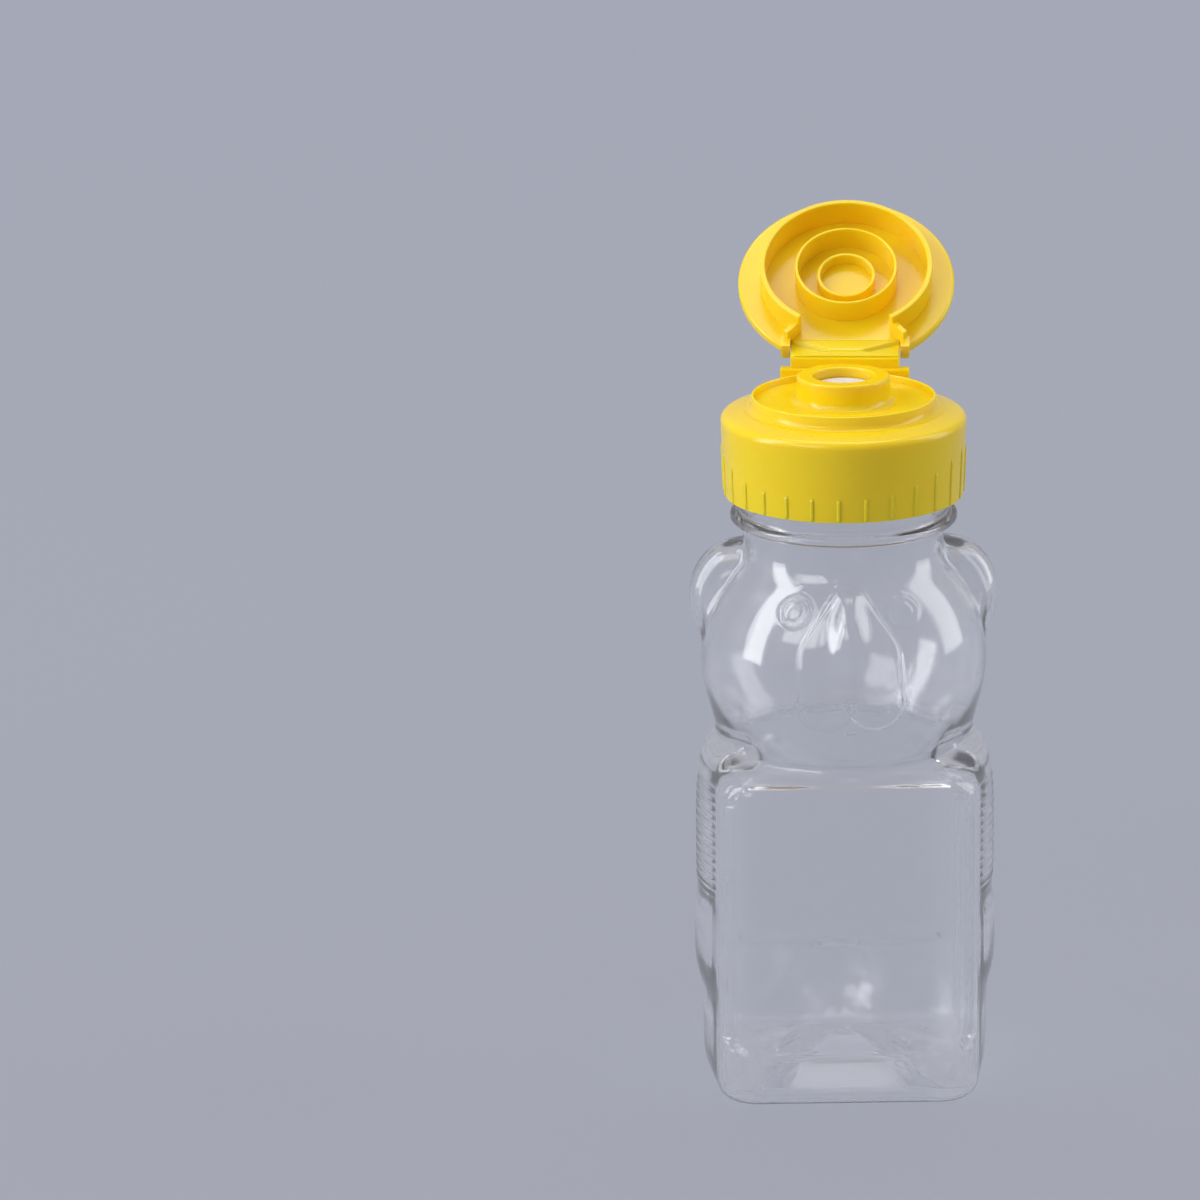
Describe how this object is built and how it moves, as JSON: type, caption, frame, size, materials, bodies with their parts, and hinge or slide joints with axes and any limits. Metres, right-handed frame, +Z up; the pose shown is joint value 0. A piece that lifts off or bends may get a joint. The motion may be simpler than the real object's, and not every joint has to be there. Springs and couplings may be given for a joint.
{
  "type": "squeeze bottle",
  "caption": "Clear honey squeeze bottle with a square body and a bear's head, and a yellow screw cap with a hinged flip lid and a valve, standing open.",
  "frame": {"origin": "centre of the standing ring under the base, on the bottle's axis", "axes": "+Z up along the bottle's axis, the face looks along -Y, the lid's hinge is on the +Y side"},
  "size_m": [0.0508, 0.0735, 0.139],
  "materials": {
    "clear_plastic": "clear glossy polyester plastic",
    "yellow_plastic": "smooth glossy moulded plastic",
    "silicone": "satin translucent silicone",
    "white_plastic": "satin moulded plastic",
    "liner_foam": "matt closed-cell foam"
  },
  "bodies": {
    "bottle": {"bottle": "clear_plastic"},
    "liner": {"seal_liner": "liner_foam"},
    "closure": {"closure_base": "yellow_plastic", "silicone_valve": "silicone", "valve_retainer": "white_plastic", "hinge_strap": "yellow_plastic", "hinge_web_left": "yellow_plastic", "hinge_web_right": "yellow_plastic"},
    "lid": {"lid": "yellow_plastic"}
  },
  "joints": [
    {"name": "cap_turn", "type": "hinge", "parent": "liner", "child": "closure", "pos_m": [0, 0, 0.1104], "axis": [0, 0, 1], "range_deg": [0, 400]},
    {"name": "cap_lift", "type": "slide", "parent": "bottle", "child": "liner", "axis": [0, 0, 1], "range_m": [0, 0.00475]},
    {"name": "lid_hinge", "type": "hinge", "parent": "closure", "child": "lid", "pos_m": [0.0011, 0.01747, 0.1184], "axis": [0.998, -0.0628, 0], "range_deg": [0, 145.5]}
  ],
  "couplings": [
    {"joint": "cap_lift", "follows": "cap_turn", "m_per_rad": 0.0006737}
  ]
}
